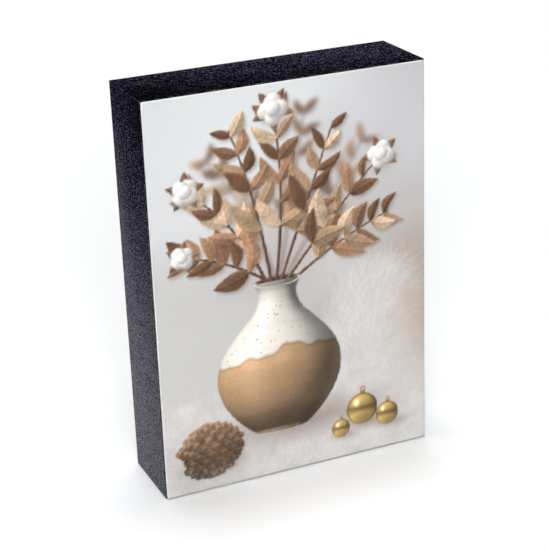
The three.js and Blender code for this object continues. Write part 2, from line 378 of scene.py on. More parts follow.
# Painted shade: the corner at the top, left and front is darkened in the colour, beside the picture's
# edge.
TAPE_SHADE_STRENGTH = 0.55
TAPE_SHADE_UP = (136 * MM, 176 * MM)
TAPE_SHADE_LEFT = (-30 * MM, -62 * MM)
TAPE_SHADE_FRONT = (10 * MM, -18 * MM)
WEAR_AND_HIGHLIGHT_WIDTH = 0.5 * MM
SCUFF_SIZE = 3 * MM
SCUFF_SPAN = (0.42, 0.68)


def dust_and_sheen(tree, back, up):
    """Dust and painted sheen: more towards the table, and half-way up a little more painted light towards
    the back
    """
    more = product(
        tree,
        share_between(tree, back, *BACK_SHEEN_SPAN),
        share_between(tree, up, *BACK_SHEEN_BELOW),
        share_between(tree, up, *BACK_SHEEN_ABOVE),
        BACK_PAINTED_SHEEN,
    )
    return calc(tree, "ADD", share_between(tree, up, *DUST_AND_SHEEN_SPAN), more)


def painted_tape_shade(tree, right, back, up):
    """How much painted shade darkens the tape, most at the corner at the top, left and front"""
    return product(
        tree,
        share_between(tree, up, *TAPE_SHADE_UP),
        share_between(tree, right, *TAPE_SHADE_LEFT),
        share_between(tree, back, *TAPE_SHADE_FRONT),
        TAPE_SHADE_STRENGTH,
    )


def arris_distance(tree, point, box):
    """How far a place on a box lies from the box's nearest arris: the middle one of three distances"""
    depths = []
    for value, low, high in zip(axes(tree, point), *box):
        aside = calc(tree, "ABSOLUTE", calc(tree, "SUBTRACT", value, (low + high) / 2))
        depths.append(calc(tree, "SUBTRACT", (high - low) / 2, aside))
    smaller = calc(tree, "MINIMUM", depths[0], depths[1])
    larger = calc(tree, "MAXIMUM", depths[0], depths[1])
    return calc(tree, "MAXIMUM", smaller, calc(tree, "MINIMUM", larger, depths[2]))


def arris_wear_and_highlight(tree, point, box):
    """Lighter scuffs close to the arrises: partly wear, partly a painted highlight along the arris"""
    away = calc(tree, "DIVIDE", arris_distance(tree, point, box), WEAR_AND_HIGHLIGHT_WIDTH)
    nearness = calc(tree, "MAXIMUM", calc(tree, "SUBTRACT", 1.0, away), 0.0)
    scuffs = share_between(tree, clouds(tree, point, SCUFF_SIZE, detail=3.0), *SCUFF_SPAN)
    return product(tree, nearness, scuffs)


# Where the dust starts, the painted sheen starts too.
print("dust starts at", round(DUST_AND_SHEEN_SPAN[0] / MM), "mm and is full at", round(DUST_AND_SHEEN_SPAN[1] / MM), "mm")

# %% The tape's finish
TAPE_DARK = (0.0015, 0.0015, 0.0055)
TAPE_PAINTED_GLINT = (0.062, 0.060, 0.083)
TAPE_DUST_AND_SHEEN = (0.096, 0.095, 0.107)
TAPE_WORN_AND_HIGHLIGHT = (0.11, 0.11, 0.125)
TAPE_GLINT_SPECKLE = ((0.523, TAPE_DARK), (0.613, TAPE_PAINTED_GLINT))
TAPE_GRAIN = 0.6 * MM
TAPE_FINE_GRAIN = 0.3 * MM
GRAIN_RUN = (1, 0.6, 1)
GRAIN_DEPTH = 0.16 * MM
DUST_AND_SHEEN_SPECKS = (0.39, 0.61)


def tape_finish(box):
    finish, tree = new_finish("pebbled_black_tape", roughness=0.92, specular=0.0)
    point = object_point(tree)
    right, back, up = axes(tree, point)
    run = object_point(tree, GRAIN_RUN)
    # Painted glints and shade: light and dark spots in the colour stand for each pebble's lit and shaded
    # flank.
    speckle = clouds(tree, run, TAPE_GRAIN, detail=3.0, roughness=0.7)
    speckled = ramp(tree, speckle, *TAPE_GLINT_SPECKLE)
    # Painted shade darkens the corner at the top, left and front.
    speckled = mix_colours(tree, painted_tape_shade(tree, right, back, up), speckled, TAPE_DARK)
    specks = share_between(tree, clouds(tree, point, TAPE_GRAIN, detail=3.0, roughness=0.7), *DUST_AND_SHEEN_SPECKS)
    # Grey towards the table: dust and a painted sheen of light from the table.
    dusty_and_sheened = mix_colours(tree, product(tree, dust_and_sheen(tree, back, up), specks), speckled, TAPE_DUST_AND_SHEEN)
    # Lighter along the arrises: wear and a painted arris highlight.
    worn_and_highlighted = mix_colours(tree, arris_wear_and_highlight(tree, point, box), dusty_and_sheened, TAPE_WORN_AND_HIGHLIGHT)
    grain = calc(tree, "ADD", pebbles(tree, run, TAPE_GRAIN), clouds(tree, run, TAPE_FINE_GRAIN))
    return complete(finish, worn_and_highlighted, grain, GRAIN_DEPTH)


tape_names = ("left_edge_tape", "right_edge_tape", "top_edge_tape", "bottom_edge_tape")
tape_corners = np.array([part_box(name) for name in tape_names])
tape_box = (tape_corners[:, 0].min(axis=0), tape_corners[:, 1].max(axis=0))
tape_material = tape_finish(tape_box)
print("the tape wraps a box of", np.round((tape_box[1] - tape_box[0]) / MM, 2), "mm")

# %% [markdown]
# ## A sheet with a fine face
#
# Both the tape and the picture need a face with many small cells, one for its relief and the other for
# its colours. A grid is added at the sheet's outer face, its open rim is extruded backwards by the
# sheet's thickness, and the back is closed with one face, so all the fine cells lie where they show.
# Then the arris round the face is bevelled, since nothing real has a perfectly sharp one.

# %% Selection helpers
import bmesh

SAME_WAY = 0.5


def deselect():
    bpy.ops.object.select_all(action="DESELECT")


def work_on(piece):
    """Make a piece the only one that operators act on"""
    deselect()
    piece.select_set(True)
    bpy.context.view_layer.objects.active = piece


def select_edges(piece, wanted):
    """In edit mode, select the edges between faces whose normals a test picks"""
    mesh = bmesh.from_edit_mesh(piece.data)
    mesh.select_mode = {"EDGE"}
    for edge in mesh.edges:
        edge.select_set(len(edge.link_faces) == 2 and wanted(*(face.normal for face in edge.link_faces)))
    mesh.select_flush_mode()
    bmesh.update_edit_mesh(piece.data)


def select_rim(piece, way):
    """In edit mode, select the edges round the faces that point a given way"""
    select_edges(piece, lambda a, b: (a.dot(way) > SAME_WAY) != (b.dot(way) > SAME_WAY))


print("selection helpers ready")

# %% The sheet
def fine_sheet(name, box, facing, cell, ease, corner=0.0):
    """A sheet that fills a box, its fine face turned to where facing says, in degrees about X and Z"""
    low, high = (Vector(value) for value in box)
    turn = Euler((radians(facing[0]), 0, radians(facing[1])))
    run, rise, outwards = turn.to_matrix().transposed()
    size = high - low
    wide, tall, thick = (abs(size.dot(axis)) for axis in (run, rise, outwards))
    place = (low + high) / 2 + outwards * thick / 2
    deselect()
    bpy.ops.mesh.primitive_grid_add(
        x_subdivisions=round(wide / cell),
        y_subdivisions=round(tall / cell),
        size=1,
        location=place,
        rotation=turn,
    )
    sheet = bpy.context.object
    sheet.name = name
    sheet.scale = (wide, tall, 1)
    bpy.ops.object.transform_apply(location=True, rotation=True, scale=True)
    bpy.ops.object.mode_set(mode="EDIT")
    bpy.ops.mesh.select_mode(type="EDGE")
    bpy.ops.object.vertex_group_assign_new()
    bpy.ops.mesh.select_all(action="DESELECT")
    bpy.ops.mesh.select_non_manifold()
    bpy.ops.mesh.extrude_region_move(TRANSFORM_OT_translate={"value": -outwards * thick})
    bpy.ops.object.vertex_group_remove_from()
    bpy.ops.mesh.edge_face_add()
    if corner:
        flat = lambda normal: abs(normal.dot(outwards)) > SAME_WAY
        select_edges(sheet, lambda a, b: not (flat(a) or flat(b)) and a.dot(b) < SAME_WAY)
        bpy.ops.mesh.bevel(offset=corner, segments=3, affect="EDGES")
    select_rim(sheet, outwards)
    bpy.ops.mesh.bevel(offset=ease, segments=2, affect="EDGES")
    bpy.ops.mesh.select_all(action="SELECT")
    bpy.ops.mesh.normals_make_consistent(inside=False)
    bpy.ops.object.mode_set(mode="OBJECT")
    return sheet


print("the sheet's way of making is ready")

# %% [markdown]
# ## The four strips of tape
#
# Each strip is a fine sheet on one edge of the block. A Displace modifier with a cell pattern presses
# valleys into its outer face only: the pebbles keep the strip's own height and the valleys go inwards,
# so the block grows by nothing. The modifier is applied, because the relief is a shape of its own.

# %% Model the tape strips
TAPE_CELL = 0.4 * MM
TAPE_EASE = 0.18 * MM
PEBBLE_SIZE = 0.8 * MM
PEBBLE_DEPTH = 0.12 * MM
TAPE_SMOOTH = radians(50)
TAPE_FACINGS = {
    "left_edge_tape": (90, -90),
    "right_edge_tape": (90, 90),
    "top_edge_tape": (0, 0),
    "bottom_edge_tape": (180, 0),
}

pebble_pattern = bpy.data.textures.new("tape_pebbles", "VORONOI")
pebble_pattern.noise_scale = PEBBLE_SIZE


def tape_strip(node):
    strip = fine_sheet("pebbled_" + node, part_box(node), TAPE_FACINGS[node], TAPE_CELL, TAPE_EASE)
    work_on(strip)
    relief = strip.modifiers.new("pebbles", "DISPLACE")
    relief.texture = pebble_pattern
    relief.texture_coords = "LOCAL"
    relief.mid_level = 0.0
    relief.strength = -PEBBLE_DEPTH
    relief.vertex_group = strip.vertex_groups[0].name
    bpy.ops.object.modifier_apply(modifier=relief.name)
    bpy.ops.object.shade_smooth_by_angle(angle=TAPE_SMOOTH)
    strip.data.materials.append(tape_material)
    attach(strip, "root")
    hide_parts(node)
    return strip


for node in tape_names:
    strip = tape_strip(node)
    let_light("tape", strip)
    let_light("right_side", strip)
    let_light("all_but_tape", strip, state="EXCLUDE")
    print(strip.name, "has", len(strip.data.polygons), "faces")

# %% [markdown]
# ## The picture: a still life of its own
#
# A block like this can carry any picture. This one has a still life: a dipped clay vase with dried
# twigs and cotton on white fleece, in pale greys, tans and browns. It is painted here in numpy, in
# millimetres of paper, from the back to the front, as with opaque paint: each shape is a soft mask, and
# laying a colour mixes it in by that mask. The canvas has three samples for each cell of the sheet each
# way, so that edges come out smooth.

# %% The canvas and its brushes
PRINT_CELL = 0.491 * MM
CANVAS_SAMPLES = 3
CHANCE_SEED = 11

print_low, print_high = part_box("photo_print")
paper_wide = (print_high.x - print_low.x) / MM
paper_high = (print_high.z - print_low.z) / MM
canvas_columns = round(paper_wide / (PRINT_CELL / MM)) * CANVAS_SAMPLES
canvas_rows = round(paper_high / (PRINT_CELL / MM)) * CANVAS_SAMPLES
canvas_step = paper_wide / canvas_columns
across, up = np.meshgrid(
    (np.arange(canvas_columns) + 0.5) * paper_wide / canvas_columns - paper_wide / 2,
    (np.arange(canvas_rows) + 0.5) * paper_high / canvas_rows,
)
canvas = np.zeros((canvas_rows, canvas_columns, 3))
whole_canvas = np.s_[:, :]
chance = np.random.default_rng(CHANCE_SEED)


def tint(red, green, blue):
    """A colour as a painter reads it, each part from 0 to 255"""
    return np.array([red, green, blue]) / 255


def soft_step(start, end, value):
    """0 before start, 1 after end and a smooth rise between"""
    share = np.clip((value - start) / (end - start), 0, 1)
    return share * share * (3 - 2 * share)


def within(outside, softness=canvas_step):
    """1 inside a shape and 0 outside, from how far outside it each sample lies"""
    return soft_step(softness, -softness, outside)


def bell(value, width):
    """1 at 0, falling off smoothly to both sides"""
    return np.exp(-((value / width) ** 2))


def near(x, y, reach):
    """The stretch of canvas within reach of a place, and how far each sample there is from the place"""
    first_column = max(int((x - reach + paper_wide / 2) / canvas_step), 0)
    last_column = max(int((x + reach + paper_wide / 2) / canvas_step) + 2, first_column)
    first_row = max(int((y - reach) / canvas_step), 0)
    last_row = max(int((y + reach) / canvas_step) + 2, first_row)
    part = np.s_[first_row:last_row, first_column:last_column]
    return part, across[part] - x, up[part] - y


def lay(part, mask, colour):
    """Mix a colour into a stretch of the canvas by a mask"""
    canvas[part] += (np.asarray(colour) - canvas[part]) * np.clip(mask, 0, 1)[..., None]


print("canvas of", canvas_columns, "by", canvas_rows, "samples,", round(canvas_step, 3), "mm apart")

# %% [markdown]
# Cloth, clay and leaves need patches of uneven tone. Random values on a coarse grid, joined by smooth
# slopes, give one layer of patches, and a few such layers of halved size give a cloudy texture. A lens
# blur is three running means in a row, which come close to a bell curve.

# %% Patches and blur
def patches(wide, tall=None):
    """Soft random patches of this size, from 0 to 1"""
    tall = tall or wide
    grid = chance.random((int(paper_high / tall) + 3, int(paper_wide / wide) + 3))
    column, row = (across + paper_wide / 2) / wide, up / tall
    left, low = column.astype(int), row.astype(int)
    u, v = soft_step(0, 1, column - left), soft_step(0, 1, row - low)
    lower = grid[low, left] * (1 - u) + grid[low, left + 1] * u
    upper = grid[low + 1, left] * (1 - u) + grid[low + 1, left + 1] * u
    return lower * (1 - v) + upper * v


def mottle(size, layers=3):
    weights = [0.5**layer for layer in range(layers)]
    return sum(weight * patches(size * weight) for weight in weights) / sum(weights)


def running_mean(picture, width, axis):
    margin = [(0, 0)] * picture.ndim
    margin[axis] = (width + 1, width)
    total = np.pad(picture, margin, mode="edge").cumsum(axis)
    count = picture.shape[axis]
    ends = np.take(total, range(2 * width + 1, 2 * width + 1 + count), axis)
    return (ends - np.take(total, range(count), axis)) / (2 * width + 1)


def blurred(picture, radius):
    width = max(1, int(radius / canvas_step))
    for axis in (0, 1) * 3:
        picture = running_mean(picture, width, axis)
    return picture


print("patches and blur ready")

# %% Paint the wall
WALL_LIT = tint(227, 229, 230)
WALL_SHADED = tint(205, 204, 206)
WALL_LOW = tint(206, 205, 203)
WALL_PATCH = 60
WALL_UNEVENNESS = 0.03

# The wall darkens to the right, and high up the shade starts further right.
high_up = soft_step(90, 172, up)
wall_share = soft_step(-50 + 45 * high_up, 70 - 10 * high_up, across)
wall = WALL_LIT + (WALL_SHADED - WALL_LIT) * wall_share[..., None]
wall += (WALL_LOW - wall) * soft_step(132, 88, up)[..., None]
canvas[:] = wall + (mottle(WALL_PATCH, 2)[..., None] - 0.5) * WALL_UNEVENNESS
print("wall painted, mean tone", round(float(canvas.mean()), 3))

# %% [markdown]
# The drawing is settled before any paint: the vase's profile is a short list of heights and radii
# joined by a smooth curve, and each twig is a bend between two points. Leaves sit along the twigs at
# seeded angles and grow smaller towards the tip. Three more twigs stand further back, out of focus.

# %% Draw the vase
VASE_X = -8.0
VASE_FOOT = 22.0
VASE_RIM = 91.0
VASE_HEIGHTS = np.array([VASE_FOOT, 24, 32, 43, 52, 62, 71, 78, 84, 88, VASE_RIM])
VASE_RADII = np.array([13, 15.5, 23, 28.4, 29, 25.4, 17.8, 11.2, 8.9, 9.3, 11.2])


def vase_radius(height):
    """The vase's profile: a smooth curve through its radii"""
    slopes = np.gradient(VASE_RADII, VASE_HEIGHTS)
    before = np.clip(np.searchsorted(VASE_HEIGHTS, height) - 1, 0, len(VASE_HEIGHTS) - 2)
    span = VASE_HEIGHTS[before + 1] - VASE_HEIGHTS[before]
    t = np.clip((height - VASE_HEIGHTS[before]) / span, 0, 1)
    start = (2 * t**3 - 3 * t**2 + 1) * VASE_RADII[before] + (t**3 - 2 * t**2 + t) * span * slopes[before]
    end = (3 * t**2 - 2 * t**3) * VASE_RADII[before + 1] + (t**3 - t**2) * span * slopes[before + 1]
    return start + end


print("the vase is", VASE_RIM - VASE_FOOT, "mm high and", 2 * VASE_RADII.max(), "mm wide")

# %% Draw the twigs
def bend(start, pull, end, count):
    """Points along a curve from start to end that is pulled towards a third point"""
    t = np.linspace(0, 1, count)[:, None]
    return (1 - t) ** 2 * np.array(start) + 2 * t * (1 - t) * np.array(pull) + t**2 * np.array(end)


TWIG_POINTS = 420
TWIG_ENDS = (
    ((-22, 118), (-47, 137)),
    ((-15, 128), (-27, 160)),
    ((-2, 128), (-7, 166)),
    ((6, 122), (20, 157)),
    ((14, 112), (42, 139)),
    ((18, 104), (45, 113)),
    ((-26, 104), (-50, 109)),
)
FAR_TWIG_ENDS = (
    ((-14, 120), (-38, 150)),
    ((0, 126), (7, 164)),
    ((12, 116), (34, 148)),
)

twigs = [
    bend((VASE_X - 3 + order, VASE_RIM - 5), pull, end, TWIG_POINTS)
    for order, (pull, end) in enumerate(TWIG_ENDS)
]
far_twigs = [bend((VASE_X, VASE_RIM - 5), pull, end, TWIG_POINTS) for pull, end in FAR_TWIG_ENDS]
print(len(twigs), "twigs, and", len(far_twigs), "further back")

# %% Draw the leaves
LEAF_PLACES = np.linspace(0.36, 0.96, 6)
FAR_LEAF_PLACES = np.linspace(0.4, 0.98, 6)


def grow_leaves(twig, places, longest):
    """Leaves on both sides of a twig, shorter towards its tip"""
    grown = []
    for order, place in enumerate(places):
        at = int(place * (TWIG_POINTS - 1))
        ahead = twig[at] - twig[at - 8]
        for side in (-1, 1) if chance.random() > 0.3 else ((-1) ** order,):
            length = longest * (1.1 - 0.55 * place) * chance.uniform(0.85, 1.15)
            grown.append(
                {
                    "x": twig[at][0],
                    "y": twig[at][1],
                    "turn": np.arctan2(ahead[1], ahead[0]) + side * chance.uniform(0.45, 1.0),
                    "length": length,
                    "width": length * chance.uniform(0.36, 0.5),
                    "cup": side * chance.uniform(-0.1, 0.45),
                    "tone": chance.random(),
                }
            )
    return grown


leaves = [leaf for twig in twigs for leaf in grow_leaves(twig, LEAF_PLACES, longest=19)]
far_leaves = [leaf for twig in far_twigs for leaf in grow_leaves(twig, FAR_LEAF_PLACES, longest=15)]
print(len(leaves), "leaves, and", len(far_leaves), "further back")

# %% [markdown]
# Round things need shading. The lamp of the painting stands at the upper left, and a colour is made
# brighter where the surface turns towards it. A leaf gets a lit and a shaded half, a raised midrib, side
# veins and blotches, and each one throws a soft shade on what lies under it.

# %% The painting's lamp
LAMP_WAY = np.array([-0.52, 0.55, 0.65])
LAMP = LAMP_WAY / np.linalg.norm(LAMP_WAY)
LIT_TONE = 1.12


def lit(colour, slopes, shade):
    """A colour under the painting's lamp, on a surface whose normal is given by its three parts"""
    facing = np.clip(sum(part * lamp for part, lamp in zip(slopes, LAMP)), 0, 1)
    return np.clip(np.asarray(colour) * (shade + (LIT_TONE - shade) * facing)[..., None], 0, 1)


print("the painting's lamp stands at", np.round(LAMP, 2))

# %% A brush for leaves
LEAF_BROWNS = (
    tint(152, 114, 86),
    tint(126, 90, 66),
    tint(186, 154, 122),
    tint(110, 78, 58),
    tint(168, 130, 100),
    tint(200, 174, 146),
)
DRY_EDGE = tint(206, 178, 146)
LEAF_REACH = 1.15
VEIN_GAP = 2.8
blotches = mottle(4, 4)


def leaf_along(dx, dy, turn, length, cup):
    """A leaf's own axes: the share of its length, and the distance from its bent midrib"""
    share = (dx * cos(turn) + dy * sin(turn)) / length
    side = dy * cos(turn) - dx * sin(turn) - cup * length * 0.35 * np.sin(pi * np.clip(share, 0, 1))
    return share, side


def leaf_half_width(share, width):
    return width / 2 * np.sin(pi * np.clip(share, 0, 1) ** 0.8) ** 0.9


def leaf_blade(x, y, turn, length, width, colour, cup=0.0):
    """A leaf with a lit and a shaded half, a midrib, side veins, blotches and a dry rim"""
    part, dx, dy = near(x, y, length * LEAF_REACH)
    share, side = leaf_along(dx, dy, turn, length, cup)
    half = leaf_half_width(share, width) * (0.94 + 0.12 * blotches[part])
    inside = (share > 0) & (share < 1)
    mask = within(np.abs(side) - half) * inside
    across_blade = np.clip(side / np.maximum(half, canvas_step), -1, 1)
    towards_lamp = cos(turn) * LAMP[1] - sin(turn) * LAMP[0]
    roll = towards_lamp * (0.3 * across_blade + 0.22 * np.sign(side) * bell(np.abs(side) - 0.4, 0.4))
    veins = 0.04 * np.cos((share * length - np.abs(side) * 0.8) * tau / VEIN_GAP)
    tone = 0.9 + roll + veins + 0.14 * share + 0.36 * (blotches[part] - 0.5)
    dry = 0.45 * soft_step(0.6, 1.0, np.abs(across_blade)) * blotches[part]
    blade = np.asarray(colour) * tone[..., None]
    lay(part, mask, np.clip(blade + (DRY_EDGE - blade) * dry[..., None], 0, 1))


print("a brush for leaves, in", len(LEAF_BROWNS), "browns")

# %% Brushes for a leaf's shade and for twigs
TWIG_BROWN = tint(104, 78, 62)
LEAF_SHADE = tint(96, 76, 64)
LEAF_SHADE_SHARE = 0.3
LEAF_SHADE_SOFT = 1.3
LEAF_SHADE_ASIDE = 0.9
LEAF_SHADE_DOWN = 1.1


def leaf_outline(leaf, aside=0.0, down=0.0):
    """The canvas round a leaf, moved aside and down: the share of its length, and how far outside it"""
    part, dx, dy = near(leaf["x"] + aside, leaf["y"] - down, leaf["length"] * LEAF_REACH)
    share, side = leaf_along(dx, dy, leaf["turn"], leaf["length"], leaf["cup"])
    return part, share, np.abs(side) - leaf_half_width(share, leaf["width"])


def paint_leaf(leaf):
    """A leaf over its own soft shade"""
    part, share, outside = leaf_outline(leaf, LEAF_SHADE_ASIDE, LEAF_SHADE_DOWN)
    shade = LEAF_SHADE_SHARE * within(outside, LEAF_SHADE_SOFT)
    lay(part, shade * (share > 0) * (share < 1), LEAF_SHADE)
    brown = LEAF_BROWNS[int(leaf["tone"] * len(LEAF_BROWNS))] * (0.9 + 0.2 * leaf["tone"] ** 2)
    leaf_blade(leaf["x"], leaf["y"], leaf["turn"], leaf["length"], leaf["width"], brown, leaf["cup"])


def twig_stroke(path, thick, thin):
    for place, (x, y) in zip(np.linspace(0, 1, len(path)), path):
        radius = thick + (thin - thick) * place
        part, dx, dy = near(x, y, radius + 2 * canvas_step)
        tone = 0.8 + 0.5 * blotches[part] - 0.3 * (dx - dy) / radius
        lay(part, within(np.hypot(dx, dy) - radius, 0.7 * canvas_step), TWIG_BROWN * tone[..., None])


print("brushes for twigs and leaves ready")

# %% Paint the shadow on the wall and the far twigs
SHADOW_ASIDE = 24.0
SHADOW_DOWN = 9.0
SHADOW_BLUR = 5.5
FAR_BLUR = 0.9
WALL_SHADE = tint(150, 136, 126)
CORNER_SHADE = tint(152, 130, 112)

outline = ((np.abs(across - VASE_X) < vase_radius(up)) & (up > VASE_FOOT) & (up < VASE_RIM)).astype(float)
for leaf in leaves:
    part, _, outside = leaf_outline(leaf)
    outline[part] = np.maximum(outline[part], outside < 0)
aside = int(SHADOW_ASIDE / canvas_step)
cast = np.roll(outline, (-int(SHADOW_DOWN / canvas_step), aside), (0, 1))
cast[:, :aside] = 0
lay(whole_canvas, blurred(cast, SHADOW_BLUR) * 0.3, WALL_SHADE)
low_corner = bell(across - 62, 20) * bell(up - 82, 26)
lay(whole_canvas, 0.42 * low_corner, CORNER_SHADE)
for twig in far_twigs:
    twig_stroke(twig, thick=0.5, thin=0.25)
for leaf in far_leaves:
    paint_leaf(leaf)
haze = bell(across, 60) * bell(up - 140, 60) * soft_step(90, 110, up)
lay(whole_canvas, 0.3 * haze * (canvas.mean(axis=2) < 0.75), WALL_SHADED)
canvas[:] = blurred(canvas, FAR_BLUR)
print("shadow covers", round(float(cast.mean()) * 100), "% of the wall")

# %% [markdown]
# White fleece is what thousands of bright and dull hairs look like together. Each hair is a short bent
# stroke that fades towards its tip. A mound of it stands behind the vase, and a field of it is the
# ground, each over a soft mottled base so that no gap shows.

# %% A brush for hairs
HAIR_BRIGHT = tint(250, 249, 247)
HAIR_DULL = tint(184, 177, 172)
HAIR_SIDES = ((0, 0, 1.0), (1, 0, 0.6), (0, 1, 0.6))


def hairs(count, place, length, strength, spread, lean):
    """Hairs at random places, each leaning as its place says, give or take the spread"""
    for _ in range(count):
        x, y = place()
        turn = lean(x, y) + chance.normal(0, spread)
        reach = chance.uniform(*length)
        tip = turn + chance.normal(0, 0.35)
        bright = chance.random()
        middle = (x + reach / 2 * cos(turn), y + reach / 2 * sin(turn))
        count_on_hair = int(reach / canvas_step / 1.6)
        path = bend((x, y), middle, (x + reach * cos(tip), y + reach * sin(tip)), count_on_hair)
        columns = ((path[:, 0] + paper_wide / 2) / canvas_step).astype(int)
        rows = (path[:, 1] / canvas_step).astype(int)
        inside = (columns >= 0) & (columns < canvas_columns - 1) & (rows >= 0) & (rows < canvas_rows - 1)
        columns, rows = columns[inside], rows[inside]
        fade = strength * np.linspace(1, 0.25, count_on_hair)[inside][:, None]
        colour = HAIR_BRIGHT * bright + HAIR_DULL * (1 - bright)
        for right, above, share in HAIR_SIDES:
            spot = (rows + above, columns + right)
            canvas[spot] += (colour - canvas[spot]) * fade * share


print("a brush for hairs that marks", len(HAIR_SIDES), "samples at each step")

# %% Paint the fleece
FLEECE_BASE = tint(219, 216, 213)
MOUND_X, MOUND_Y = 40, 48
MOUND_WIDE, MOUND_TALL = 31, 46
GROUND_SOFT = 3.0
VASE_SHADE = tint(124, 108, 97)


def ground_line(x):
    return 44 + 3.5 * np.sin(x / 17) + 2 * np.sin(x / 6.3 + 1)


def on_mound():
    turn, reach = chance.uniform(0, pi), np.sqrt(chance.random())
    return MOUND_X + MOUND_WIDE * reach * cos(turn), MOUND_Y + MOUND_TALL * reach * sin(turn)


def mound_lean(x, y):
    return np.arctan2((y - MOUND_Y) / MOUND_TALL + 0.2, (x - MOUND_X) / MOUND_WIDE) - 0.5


def on_ground():
    x = chance.uniform(-66, 66)
    return x, ground_line(x) * chance.random() ** 0.8


def ground_lean(x, y):
    return 1.2 + 0.5 * sin(x / 9) + 0.3 * sin(y / 7)


mound = soft_step(1.1, 0.8, np.hypot((across - MOUND_X) / 30, (up - MOUND_Y) / MOUND_TALL))
lay(whole_canvas, mound * 0.85, FLEECE_BASE * (0.93 + 0.12 * mottle(9))[..., None])
hairs(1500, on_mound, length=(6, 14), strength=0.45, spread=0.45, lean=mound_lean)
ground = within(up - ground_line(across), GROUND_SOFT)
lay(whole_canvas, ground, FLEECE_BASE * (0.9 + 0.16 * mottle(10, 4))[..., None])
hairs(2600, on_ground, length=(4, 11), strength=0.38, spread=0.6, lean=ground_lean)
vase_shade = bell(across - VASE_X - 8, 34) * bell(up - VASE_FOOT - 1, 7.5)
lay(whole_canvas, 0.6 * vase_shade * (up < 60), VASE_SHADE)
lay(whole_canvas, 0.55 * bell(across - 68, 17) * bell(up - 62, 25), CORNER_SHADE)
print("fleece painted, mean tone", round(float(canvas.mean()), 3))

# %% [markdown]
# Cotton on the tips of four twigs repeats the white of the fleece higher up. A boll is a dry star of husk
# with a few woolly tufts, each with its own shade underneath and a ragged rim.

# %% A brush for cotton
HUSK_BROWN = tint(122, 92, 70)
COTTON = tint(244, 241, 236)
COTTON_SHADE = tint(170, 156, 143)
woolly = mottle(1.8, 3)


def soft_spot(x, y, wide, tall, strength, colour):
    part, dx, dy = near(x, y, wide * 2.2)
    lay(part, strength * bell(dx, wide) * bell(dy, tall), colour)


def tuft(x, y, radius):
    soft_spot(x + 0.25 * radius, y - 0.3 * radius, radius, radius, 0.4, COTTON_SHADE)
    part, dx, dy = near(x, y, radius * 1.3)
    away = np.hypot(dx, dy) / radius * (0.86 + 0.28 * woolly[part])
    rise = np.sqrt(np.clip(1.2 - away**2, 0, 1))
    colour = COTTON * (0.93 + 0.12 * woolly[part])[..., None]
    lay(part, soft_step(1.08, 0.88, away), lit(colour, (dx / radius, dy / radius, rise), shade=0.74))


def boll(x, y, radius, turn):
    for petal in range(5):
        leaf_blade(x, y, turn + petal * tau / 5, radius * 1.5, radius * 0.7, HUSK_BROWN)
    for order in range(4):
        angle = turn + 0.6 + order * tau / 4
        tuft(x + 0.45 * radius * cos(angle), y + 0.45 * radius * sin(angle), radius * 0.6)
    tuft(x, y + 0.05 * radius, radius * 0.5)


print("a brush for cotton ready")

# %% Paint the twigs and the cotton
NECK_CLAY = tint(126, 96, 74)
NECK_DARK = tint(62, 46, 38)
NECK_REACH = 13
BOLLS = ((0, 6.0, 0.3), (2, 6.6, 1.0), (4, 6.2, 0.7), (6, 5.2, 0.1))

neck, dx, dy = near(VASE_X, VASE_RIM, NECK_REACH)
lay(neck, soft_step(1.05, 0.95, np.hypot(dx / 11.2, dy / 2.6)), NECK_CLAY)
lay(neck, soft_step(1.05, 0.9, np.hypot(dx / 9.8, (dy + 0.1) / 1.9)), NECK_DARK)
for twig in twigs:
    twig_stroke(twig, thick=0.75, thin=0.3)
for order in chance.permutation(len(leaves)):
    paint_leaf(leaves[order])
for order, radius, turn in BOLLS:
    boll(*twigs[order][-1], radius, turn)
print("twigs and cotton painted")

# %% [markdown]
# The vase is a lathe shape, so its slope follows from its profile. Its lower part is bare clay with the
# lines that throwing leaves, and its upper part is dipped in a cream glaze, whose wavy lower line, specks
# and soft window light make it read as ceramic. The clay is the warm tan in the middle of the picture.

# %% Slopes of the vase
radius_there = np.maximum(vase_radius(np.maximum(up, VASE_FOOT)), 1)
beside = np.clip((across - VASE_X) / radius_there, -1, 1)
steepness = np.gradient(vase_radius(up[:, 0]), up[:, 0])[:, None] * np.ones_like(across)
normal = np.stack([beside, -steepness, np.sqrt(1 - beside**2)])
normal = normal / np.linalg.norm(normal, axis=0)
print("slopes found, the steepest", round(float(np.abs(steepness).max()), 2))

# %% Clay and glaze
CLAY = tint(205, 166, 126)
GLAZE = tint(236, 229, 218)
DIP_HEIGHT = 58.0

throwing_lines = patches(70, 1.6) + 0.6 * patches(45, 0.9)
clay = CLAY * (0.86 + 0.12 * mottle(7, 4) + 0.05 * throwing_lines + 0.06 * patches(0.7))[..., None]
glaze = GLAZE * (0.94 + 0.06 * mottle(12) + 0.02 * throwing_lines)[..., None]
dip_waves = 2.4 * np.sin(beside * 3.1 + 0.6) + 1.1 * np.sin(beside * 9.0) + 0.5 * np.sin(beside * 21)
dip_line = DIP_HEIGHT + dip_waves
dipped = soft_step(-0.35, 0.35, up - dip_line)[..., None]
body = clay * (1 - dipped) + glaze * dipped
body = body * (1 - 0.16 * bell(up - dip_line, 0.8))[..., None]
specks = soft_step(0.6, 0.75, patches(0.9) * patches(0.75)) * dipped[..., 0]
body = body * (1 - 0.34 * specks)[..., None]
print("glaze covers the vase down to", round(float(dip_line.mean()), 1), "mm above the picture's foot")

# %% Light the vase and lay it
FAR_EDGE_LIGHT = tint(230, 222, 214)
RIM_LIGHT = tint(238, 231, 222)
FOOT_RADIUS = 13.2

